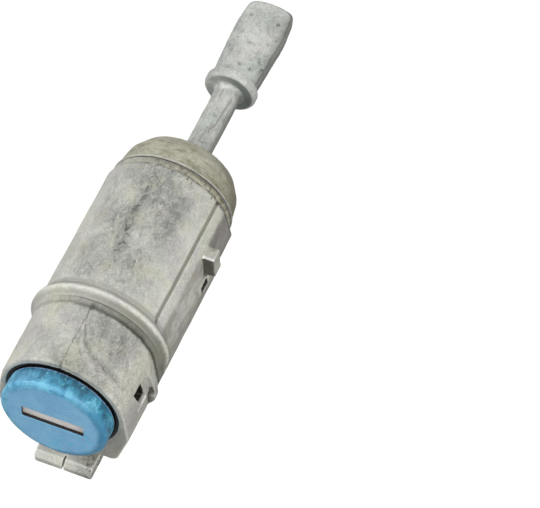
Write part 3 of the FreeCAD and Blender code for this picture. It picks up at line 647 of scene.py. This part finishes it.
def housing_marks(g, base):
    """Lines, stains and shades of the housing, laid out by angle and length."""
    angle = g.angle()
    radius = g.radius()
    outside = g.past(radius, OUTSIDE_RADIUS, 0.1)
    rough_y = g.wobble(g.y, 0.9, 0.35)
    patchy = g.range(g.noise(0.9, 5, 0.7, 0.8), 0.40, 0.60, 0.15, 1.0)
    base = flange_marks(g, base, angle, outside, rough_y)
    base = rear_band_marks(g, base, angle, rough_y)
    base = rail_marks(g, base, angle, outside)
    base = side_marks(g, base, angle, radius)
    base = seam_marks(g, base, angle, outside, patchy)
    base = smear_marks(g, base, angle, patchy)
    base = collar_marks(g, base, angle, outside)
    # Dirt on the foot, growing towards its right edge, where it is also painted shade
    foot_dirt_and_shade = g.range(g.noise(2.2, 7, 0.75, 0.6), 0.46, 0.60)
    on_foot = g.before(g.z, FOOT_BOTTOM_Z, 0.3)
    rightward = g.range(g.x, *FOOT_DIRT_AND_SHADE_X, 0.12, 0.95)
    return g.lay(base, "foot_dirt_and_shade", foot_dirt_and_shade, on_foot, rightward)


def rear_cap_marks(g, base):
    """Rubbed bands, painted shade on the right side and a painted highlight on the lip of the rear
    cap.
    """
    angle = g.angle()
    bands = g.noise(0.5, 7, 0.66, 0.5, (1.0, 3.2, 1.0))
    base = g.lay(base, "band_pale", g.range(bands, 0.52, 0.66, 0.0, 0.6))
    base = g.lay(base, "band_dark", g.range(bands, 0.48, 0.36, 0.0, 0.6))
    # Painted shade towards the right
    right_side = g.range(g.wobble(angle, 0.4, 12.0), 25, 85, 0.0, 0.75)
    base = g.lay(base, "cap_right_shade", right_side)
    # Painted highlight along the lip, broken by noise and fading to the right
    broken_highlight = g.range(g.noise(0.9, 4, 0.6), 0.35, 0.6, 0.1, 0.7)
    lip = g.line(g.y, HOUSING_END_Y + 0.25, 0.35)
    return g.lay(base, "cap_lip_highlight", lip, broken_highlight, g.range(angle, 20, 70, 1.0, 0.1))


def rod_marks(g, base, angle):
    """Streaks along the rod, painted shade on its right side, a painted highlight at the neck and
    painted shade on the disc's face.
    """
    on_rod = g.before(g.y, DISC_FRONT_Y - 0.1, 0.2)
    streaks = g.noise(1.1, 6, 0.7, 0.5, (1.0, 0.14, 1.0))
    base = g.lay(base, "rod_streak", on_rod, g.range(streaks, 0.50, 0.62, 0.0, 0.7))
    # Painted shade on the rod's right side
    right_side = g.range(g.wobble(angle, 0.8, 12.0), 38, 85, 0.0, 0.6)
    base = g.lay(base, "rod_side_shade", on_rod, right_side)
    # Painted highlight at the neck
    neck_highlight = g.times(g.line(g.y, DISC_FRONT_Y - 0.7, 0.7), g.line(angle, -12.0, 40.0))
    base = g.lay(base, "neck_highlight", neck_highlight, g.before(g.radius(), NECK_RADIUS, 0.2), 0.8)
    # Painted shade on the disc's face round the rod, deepest to the right
    disc_front = g.within(g.y, DISC_FRONT_Y - 0.15, DISC_FRONT_Y + 0.25, 0.06)
    ring = g.within(g.radius(), *DISC_RING_RADII, 0.15)
    return g.lay(base, "disc_face_shade", disc_front, ring, g.range(angle, -70, 40, 0.2, 0.8))


def tailpiece_marks(g, base):
    """The rod's marks, and the paddle's flank in painted shade, a dark line along its upper edge
    and a dark tip.
    """
    base = rod_marks(g, base, g.angle())
    on_paddle = g.past(g.y, DISC_REAR_Y + 0.1, 0.2)
    rightward = g.times(on_paddle, g.past(g.x, PADDLE_FLANK_X, 0.5))
    # Painted shade on the paddle's right flank, and a dark line along its upper edge
    base = g.lay(base, "paddle_flank_shade", rightward, g.before(g.z, PADDLE_EDGE_Z, 0.1), 0.75)
    base = g.lay(base, "paddle_edge_line", rightward, g.line(g.z, PADDLE_EDGE_Z, 0.22), 0.6)
    tip = g.times(g.past(g.y, PADDLE_TIP_Y, 0.5), g.before(g.z, 1.0, 0.12))
    return g.lay(base, "paddle_tip", tip, 0.6)


def cap_face(g, scuffs):
    """Nearly even blue with brighter patches at the lower right and pale scuffs."""
    face = g.between(g.noise(0.34, 4, 0.6, 0.8), 0.36, 0.66, "face", "face_other")
    low_right = g.range(g.math("SUBTRACT", g.x, g.z), 2.0, 9.0, 0.15, 1.0)
    patches = g.range(g.noise(0.45, 5, 0.6, 1.2), 0.50, 0.62)
    face = g.lay(face, "face_patch", patches, low_right, 0.8)
    return g.lay(face, "face_scuff", g.range(scuffs, 0.64, 0.74, 0.0, 0.35))


def cap_side(g, sweep):
    """Streaky teal, painted as lit at the left, with painted shade towards the collar and a
    painted highlight along its rear edge.
    """
    side = g.between(sweep, 0.38, 0.58, "side_dark", "side_mid")
    lit = g.between(sweep, 0.40, 0.62, "lit_dark", "lit_pale")
    leftward = g.range(g.wobble(g.angle(), 0.5, 14.0), -50, 15, 0.9, 0.0)
    side = g.mix(leftward, side, lit)
    side = g.lay(side, "side_pale", g.range(sweep, 0.56, 0.68, 0.0, 0.85))
    streak = g.noise(1.1, 6, 0.66, 1.4, (1.0, 0.5, 1.0))
    side = g.lay(side, "side_streak", g.range(streak, 0.56, 0.68, 0.0, 0.7))
    # Painted shade towards the collar's lip
    side = g.lay(side, "side_deep_shade", g.range(g.y, -14.6, -13.4, 0.0, 0.35))
    # Painted highlight along the rear edge, broken by noise
    rear_edge_highlight = g.line(g.wobble(g.y, 0.6, 0.1), CAP_SIDE_END_Y, 0.3)
    on_edge = g.past(g.radius(), CAP_RIM_RADIUS - 0.25, 0.05)
    broken_highlight = g.range(streak, 0.4, 0.6, 0.25, 0.8)
    return g.lay(side, "rear_edge_highlight", rear_edge_highlight, on_edge, broken_highlight)


def blue_plastic():
    """Glossy cap: a flat worn face, a light bevel with painted shade to its right, a streaky side,
    and painted shade in the gap behind it and in the slot.
    """
    g = Graph("cap_blue")
    scuffs = g.noise(1.0, 7, 0.72, 1.8)
    sweep = g.noise(0.55, 5, 0.62, 1.0, (1.0, 0.7, 1.0))
    bevel = g.between(sweep, 0.38, 0.62, "bevel_dark", "bevel_pale")
    # Painted shade on the bevel towards the right
    rightward = g.range(g.wobble(g.angle(), 0.5, 9.0), 10, 65, 0.0, 0.75)
    bevel = g.lay(bevel, "bevel_right_shade", rightward)
    on_bevel = g.range(g.wobble(g.radius(), 0.5, 0.5), *CAP_BEVEL_RADII)
    base = g.mix(on_bevel, cap_face(g, scuffs), bevel)
    on_side = g.range(g.wobble(g.y, 0.5, 0.16), RIM_Y - 0.05, RIM_Y + 1.1)
    base = g.mix(on_side, base, cap_side(g, sweep))
    # Painted shade in the gap behind the side's rear edge
    base = g.lay(base, "cap_gap_shade", g.past(g.y, CAP_SIDE_END_Y + 0.08, 0.05))
    # Painted shade inside the key slot
    in_slot = g.times(
        g.within(g.x, -KEY_SLOT_X, KEY_SLOT_X, 0.04),
        g.within(g.z, -KEY_SLOT_Z, KEY_SLOT_Z, 0.03),
        g.past(g.y, CAP_FACE_Y + 0.08, 0.05),
    )
    base = g.lay(base, "key_slot_shade", in_slot)
    g.join(base, g.shader.inputs["Base Color"])
    g.join(g.range(scuffs, 0.35, 0.65, 0.22, 0.40), g.shader.inputs["Roughness"])
    g.bump(g.plus(g.times(g.noise(2.5, 3, 0.5), 0.4), scuffs), 0.08, 0.05)
    return g.material


def plain(name, tone, other, rough, metallic=0.0, scale=1.2):
    """Two mottled tones with uneven gloss, for the smaller pieces."""
    g = Graph(name)
    patch = g.noise(scale, 6, 0.6, 0.4)
    g.join(g.mix(g.range(patch, 0.35, 0.68), tone, other), g.shader.inputs["Base Color"])
    g.shader.inputs["Metallic"].default_value = metallic
    g.join(g.range(patch, 0.3, 0.7, rough, rough + 0.15), g.shader.inputs["Roughness"])
    g.bump(g.noise(scale * 4, 6, 0.65), 0.4, 0.02)
    return g.material


ZINC = cast_metal(
    "zinc_skin",
    colour(204, 204, 195),
    colour(150, 152, 148),
    [colour(192, 197, 174), colour(188, 180, 184), colour(208, 204, 180)],
    housing_marks,
)
OLIVE = cast_metal(
    "zinc_olive",
    colour(194, 192, 172),
    colour(152, 148, 124),
    [colour(176, 174, 136), colour(200, 198, 184)],
    rear_cap_marks,
)
BRIGHT_ZINC = cast_metal(
    "zinc_bright",
    colour(212, 214, 208),
    colour(160, 164, 160),
    [colour(194, 206, 197), colour(204, 197, 198)],
    tailpiece_marks,
)
BLUE = blue_plastic()
RUBBER = plain("seal_rubber", colour(22, 20, 19), colour(40, 37, 35), 0.55)
STRIP = plain("shutter_strip", colour(246, 238, 232), colour(252, 248, 244), 0.35, scale=0.6)
DARK = plain("greased_steel", colour(30, 27, 22), colour(48, 44, 36), 0.4, 0.2)
STEEL = plain("spring_steel", colour(142, 142, 144), colour(176, 176, 176), 0.3, 0.8)
DULL_ZINC = plain("plug_zinc", colour(150, 150, 146), colour(176, 176, 172), 0.42, 0.4)
BRASS = plain("wafer_brass", colour(186, 150, 84), colour(208, 176, 110), 0.32, 0.8)


def cad_mesh(node):
    """Copy of a CAD node's mesh, in millimetres."""
    mesh = nodes[node].data.copy()
    mesh.transform(Matrix.Scale(MM, 4))
    return mesh


def evaluated(mesh, setters):
    """The mesh after a list of (modifier kind, settings)."""
    carrier = bpy.data.objects.new("carrier", mesh)
    bpy.context.scene.collection.objects.link(carrier)
    for kind, settings in setters:
        modifier = carrier.modifiers.new(kind.lower(), kind)
        for key, value in settings.items():
            setattr(modifier, key, value)
    graph = bpy.context.evaluated_depsgraph_get()
    result = bpy.data.meshes.new_from_object(carrier.evaluated_get(graph), depsgraph=graph)
    bpy.data.objects.remove(carrier)
    return result


def eased(mesh, voxel):
    """The form in small even faces, with its edges eased."""
    return evaluated(mesh, [
        ("REMESH", {"mode": "VOXEL", "voxel_size": voxel, "adaptivity": 0.0}),
        ("SMOOTH", {"factor": 0.5, "iterations": EASING_ROUNDS}),
    ])


def thinned(mesh, faces):
    mesh.calc_loop_triangles()
    ratio = min(1.0, faces / len(mesh.loop_triangles))
    return evaluated(mesh, [("DECIMATE", {"ratio": ratio})])


def points_of(mesh):
    points = np.empty(len(mesh.vertices) * 3)
    mesh.vertices.foreach_get("co", points)
    return points.reshape(-1, 3)


def normals_of(mesh):
    normals = np.empty(len(mesh.vertices) * 3)
    mesh.vertices.foreach_get("normal", normals)
    return normals.reshape(-1, 3)


def set_points(mesh, points):
    mesh.vertices.foreach_set("co", points.ravel())
    mesh.update()


def press(mesh, points, normals, move):
    """Moves each point along its normal, only ever inwards."""
    set_points(mesh, points + normals * np.minimum(move, 0.0)[:, None])


def paint(mesh, name, values):
    layer = mesh.attributes.new(name, "FLOAT", "POINT")
    layer.data.foreach_set("value", np.clip(values, 0, 1).astype(np.float32))


def paint_bulges(mesh, points, normals, voxel):
    """Marks convex edges as "edge", for painted highlights, and inner corners as "hollow", for
    painted shade.
    """
    ends = np.empty(len(mesh.edges) * 2, dtype=np.int32)
    mesh.edges.foreach_get("vertices", ends)
    first, second = ends.reshape(-1, 2).T
    count = np.bincount(ends, minlength=len(points))[:, None]

    def average(values):
        total = np.zeros_like(values)
        np.add.at(total, first, values[second])
        np.add.at(total, second, values[first])
        return total / count

    bulge = np.sum((points - average(points)) * normals, axis=1)[:, None] / voxel
    bulge = average(average(bulge))[:, 0]
    paint(mesh, "edge", (bulge - EDGE_BULGE) * BULGE_GAIN)
    paint(mesh, "hollow_shade", (-bulge - HOLLOW_BULGE) * BULGE_GAIN)


def rumple(points, size, octaves, seed):
    """Smooth noise from about -1 to 1 at each point."""
    shift = Vector((seed * 17.3, seed * 5.1, seed * 11.7))
    scale = 1 / size
    return np.array([
        noise.fractal(Vector(p) * scale + shift, 0.9, 2.0, octaves) for p in points
    ])


def bell(distance, width):
    return np.exp(-((distance / width) ** 2))


def about_axis(points):
    """Radius and angle of each point."""
    radius = np.hypot(points[:, 0], points[:, 2])
    return radius, np.degrees(np.arctan2(points[:, 0], points[:, 2]))


def arc(angle, centre, radius):
    """Length round the axis from an angle to each point."""
    return np.radians(angle - centre) * radius


def dents(points, places, reach):
    """Small round hollows in the top side at the given X and Y, 1 in their middle."""
    depth = np.zeros(len(points))
    for x, y in places:
        away = np.hypot(points[:, 0] - x, points[:, 1] - y)
        depth = np.maximum(depth, bell(away, reach))
    return depth * (points[:, 2] > TOP_SIDE_Z)


def add_piece(name, mesh, body, stands_for, material):
    mesh.transform(Matrix.Scale(1 / MM, 4))
    mesh.materials.clear()
    mesh.materials.append(material)
    mesh.shade_smooth()
    piece = bpy.data.objects.new(name, mesh)
    bpy.context.scene.collection.objects.link(piece)
    if body:
        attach(piece, body)
    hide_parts(*stands_for)
    return piece


def sunk(points, front_y, length, heights, floor_x):
    """Ramps the side down to a flat floor in front of a step, which then stands clear."""
    x, y, z = points.T
    low_z, high_z = heights
    ramp = np.clip((y - front_y + length) / length, 0, 1) * (y < front_y)
    above = np.clip((z - low_z) / RAMP_SOFTNESS, 0, 1)
    below = np.clip((high_z - z) / RAMP_SOFTNESS, 0, 1)
    points[:, 0] -= np.clip(x - floor_x, 0, None) * ramp * above * below


def swollen(points, front_y, rear_y, angle, spread, rise):
    """Lifts the outside between two stations round an angle."""
    radius, turn = about_axis(points)
    inside = (points[:, 1] > front_y) & (points[:, 1] < rear_y) & (radius > KNOB_FOOT_RADIUS)
    lift = rise * bell(turn - angle, spread) * inside
    points[:, 0] += lift * np.sin(np.radians(angle))
    points[:, 2] += lift * np.cos(np.radians(angle))


def collar_flaws(radius, angle, y, waver):
    """Seam, crease, burr and notch, each 1 where it is deepest."""
    on_collar = (y < FLANGE_FRONT_Y) & (np.abs(angle) < FLAW_REACH)
    seam = bell(arc(angle, SEAM_ANGLE, radius) + waver, SEAM_WIDTH) * on_collar
    turned = np.exp(-np.clip(angle, 0, 90) / CREASE_TURN)
    path = CREASE_START - CREASE_RUN * (1 - turned)
    crease = bell(y - path + 2 * waver, CREASE_WIDTH) * on_collar * (angle > SEAM_ANGLE)
    burr = bell(arc(angle, BURR_ANGLE, radius), 0.3) * bell(y - BURR_Y, 0.4)
    notch = bell(arc(angle, SEAM_ANGLE, radius), 0.25) * bell(y - NOTCH_Y, 0.5)
    return seam, crease, burr, notch


def fading(angle, centre, full, fade):
    """1 near an angle, and from there down to 0 further round."""
    return np.clip(full - np.abs(angle - centre) / fade, 0, 1)


def wear(angle, y):
    """How worn the barrel's top and the collar are."""
    barrel = np.clip((y - 1.0) / 3, 0, 1) * fading(angle, *BARREL_WEAR)
    collar = COLLAR_WEAR_SHARE * (y < -1.0) * fading(angle, *COLLAR_WEAR)
    return barrel + collar


def make_housing():
    """Casting with the collar's flaws, catch and knob set free, and a rough skin."""
    mesh = eased(cad_mesh("housing"), HOUSING_VOXEL)
    points = points_of(mesh)
    sunk(points, CATCH_FRONT_Y, CATCH_RAMP, CATCH_Z, CATCH_FLOOR_X)
    sunk(points, KNOB_FRONT_Y, KNOB_RAMP, KNOB_Z, KNOB_FLOOR_X)
    knob = (KNOB_FRONT_Y - 0.1, KNOB_REAR_Y + 0.1)
    swollen(points, *knob, KNOB_ANGLE, KNOB_SPREAD, KNOB_RISE)
    set_points(mesh, points)
    normals = normals_of(mesh)
    radius, angle = about_axis(points)
    y = points[:, 1]
    outward = (points[:, 0] * normals[:, 0] + points[:, 2] * normals[:, 2]) / radius
    outer = np.clip((radius - SKIN_RADIUS) / 0.2, 0, 1) * np.clip(outward * 3, 0, 1)
    waver = 0.12 * rumple(points, size=1.6, octaves=2, seed=5)
    seam, crease, burr, notch = collar_flaws(radius, angle, y, waver)
    broad = rumple(points, size=4.0, octaves=3, seed=1)
    fine = rumple(points, size=1.2, octaves=5, seed=2)
    worn = outer * wear(angle, y)
    move = -SEAM_DEPTH * seam - CREASE_DEPTH * crease - BURR_DEPTH * burr - NOTCH_DEPTH * notch
    move += outer * (0.05 * broad - 0.04) + worn * (0.07 * fine - 0.03)
    press(mesh, points, normals, move)
    paint_bulges(mesh, points, normals, HOUSING_VOXEL)
    paint(mesh, "dirt", 0.7 * burr + 0.5 * notch)
    uneven = np.clip(0.8 + 0.6 * rumple(points, size=5.0, octaves=3, seed=6), 0, 1)
    paint(mesh, "worn", worn * uneven)
    mesh = thinned(mesh, HOUSING_FACES)
    add_piece("housing_casting", mesh, "housing", ["housing"], ZINC)


def make_rear_cap():
    """Casting with a dark joint where it meets the housing."""
    mesh = eased(cad_mesh("rear_cap"), REAR_CAP_VOXEL)
    points = points_of(mesh)
    normals = normals_of(mesh)
    press(mesh, points, normals, 0.05 * rumple(points, size=2.5, octaves=4, seed=3) - 0.02)
    paint_bulges(mesh, points, normals, REAR_CAP_VOXEL)
    joint = bell(points[:, 1] - HOUSING_END_Y - 0.05, 0.18)
    paint(mesh, "dirt", 0.8 * joint)
    paint(mesh, "worn", 0.45 + 0.4 * rumple(points, size=4.0, octaves=3, seed=7))
    mesh = thinned(mesh, REAR_CAP_FACES)
    add_piece("rear_cap_casting", mesh, "housing", ["rear_cap"], OLIVE)


def make_tailpiece():
    """Casting with pits and a chip in its top side."""
    mesh = eased(cad_mesh("tailpiece"), TAILPIECE_VOXEL)
    points = points_of(mesh)
    normals = normals_of(mesh)
    move = 0.05 * rumple(points, size=2.2, octaves=4, seed=4) - 0.02
    chance = np.random.default_rng(11)
    fine = chance.uniform(FINE_PITS_FROM, FINE_PITS_TO, (FINE_PITS, 2))
    pits = dents(points, PADDLE_PITS, PIT_REACH)
    pits = np.maximum(pits, 0.6 * dents(points, fine, FINE_PIT_REACH))
    pits = np.maximum(pits, 0.7 * dents(points, ROD_PITS, ROD_PIT_REACH))
    chip = dents(points, [PADDLE_CHIP], CHIP_REACH)
    move -= PIT_DEPTH * pits + CHIP_DEPTH * chip
    press(mesh, points, normals, move)
    paint_bulges(mesh, points, normals, TAILPIECE_VOXEL)
    paint(mesh, "dirt", 0.5 * pits + 0.3 * chip)
    paint(mesh, "worn", 0.45 + 0.4 * rumple(points, size=4.0, octaves=3, seed=8))
    mesh = thinned(mesh, TAILPIECE_FACES)
    add_piece("tailpiece_casting", mesh, "tail", ["tailpiece"], BRIGHT_ZINC)


def make_front_cap():
    """Its side stands as full as its rim, up to the collar's lip."""
    mesh = eased(cad_mesh("front_cap"), FRONT_CAP_VOXEL)
    points = points_of(mesh)
    y = points[:, 1]
    radius = about_axis(points)[0]
    on_side = (radius > CAP_RIM_RADIUS - CAP_SIDE_STEP) & (y > RIM_Y) & (y < CAP_SIDE_END_Y)
    full_radius = np.maximum(radius, CAP_RIM_RADIUS - CAP_SIDE_GAP)
    fuller = np.where(on_side, full_radius / radius, 1.0)
    points[:, 0] *= fuller
    points[:, 2] *= fuller
    set_points(mesh, points)
    outer = (radius > CAP_OUTER_RADIUS) & (y > CAP_FACE_Y + 0.1)
    move = 0.03 * rumple(points, size=1.8, octaves=3, seed=9) - 0.01
    press(mesh, points, normals_of(mesh), move * outer)
    mesh = thinned(mesh, FRONT_CAP_FACES)
    add_piece("front_cap_moulding", mesh, "rotor", ["front_cap"], BLUE)


def add_spring(name, node, body):
    return add_piece(name, cad_mesh(node), body, [node], STEEL)


def make_return_spring():
    """The return spring's coil in steel, not attached to any moving part."""
    spring = add_spring("return_coil", "return_spring", None)
    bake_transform(spring)


def make_wafer_springs():
    """Each wafer spring's coil in steel, riding with the rotor."""
    for number in WAFERS:
        node = "wafer_spring_%d" % number
        spring = add_spring("wafer_coil_%d" % number, node, "rotor")
        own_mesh(spring)


def dress_cad_nodes():
    dressed = {
        "front_seal": RUBBER,
        "plug": DULL_ZINC,
        "sleeve": DARK,
        "driver": DULL_ZINC,
        "retaining_clip": STEEL,
        "shutter_flap": STRIP,
        "shutter_pin": STEEL,
        "shutter_spring": STEEL,
        "cross_pin": STEEL,
        "rear_washer": STEEL,
    }
    for number in WAFERS:
        dressed["wafer_%d" % number] = BRASS
    for name, material in dressed.items():
        for holder in nodes[name].material_slots:
            holder.material = material


def white_where_seen(tree, low):
    """Strength that is low for soft light, and 1 in view, in gloss and through glass."""
    path = tree.nodes.new("ShaderNodeLightPath")
    total = path.outputs["Is Camera Ray"]
    for name in ("Is Glossy Ray", "Is Transmission Ray"):
        join = tree.nodes.new("ShaderNodeMath")
        join.operation = "MAXIMUM"
        tree.links.new(total, join.inputs[0])
        tree.links.new(path.outputs[name], join.inputs[1])
        total = join.outputs[0]
    strength = tree.nodes.new("ShaderNodeMapRange")
    strength.inputs["To Min"].default_value = low
    strength.inputs["To Max"].default_value = 1.0
    tree.links.new(total, strength.inputs["Value"])
    return strength.outputs[0]


def make_floor():
    size = FLOOR_SIZE / MM
    bpy.ops.mesh.primitive_plane_add(size=size, location=(0, 0, FLOOR_Z / MM))
    floor = bpy.context.object
    floor.name = "floor"
    g = Graph("floor_white")
    g.shader.inputs["Base Color"].default_value = (FLOOR_TONE, FLOOR_TONE, FLOOR_TONE, 1)
    g.shader.inputs["Roughness"].default_value = 0.9
    g.shader.inputs["Emission Color"].default_value = (1, 1, 1, 1)
    seen = g.add("ShaderNodeLightPath").outputs["Is Camera Ray"]
    g.join(g.times(seen, FLOOR_GLOW), g.shader.inputs["Emission Strength"])
    floor.data.materials.append(g.material)


def make_backdrop():
    world = bpy.data.worlds.new("world")
    bpy.context.scene.world = world
    world.use_nodes = True
    tree = world.node_tree
    tree.nodes.clear()
    background = tree.nodes.new("ShaderNodeBackground")
    output = tree.nodes.new("ShaderNodeOutputWorld")
    background.inputs["Color"].default_value = (1, 1, 1, 1)
    tree.links.new(white_where_seen(tree, WORLD_STRENGTH), background.inputs["Strength"])
    tree.links.new(background.outputs[0], output.inputs[0])


bpy.context.scene.view_settings.view_transform = "Standard"
make_camera()
make_lamp("lamp_left", (-330, -60, 190), 0.95)
make_lamp("lamp_right", (290, -110, 230), 0.95)
make_lamp("lamp_front", (-60, -340, 180), 0.12)
make_floor()
make_backdrop()
make_housing()
make_rear_cap()
make_tailpiece()
make_front_cap()
make_return_spring()
make_wafer_springs()
dress_cad_nodes()
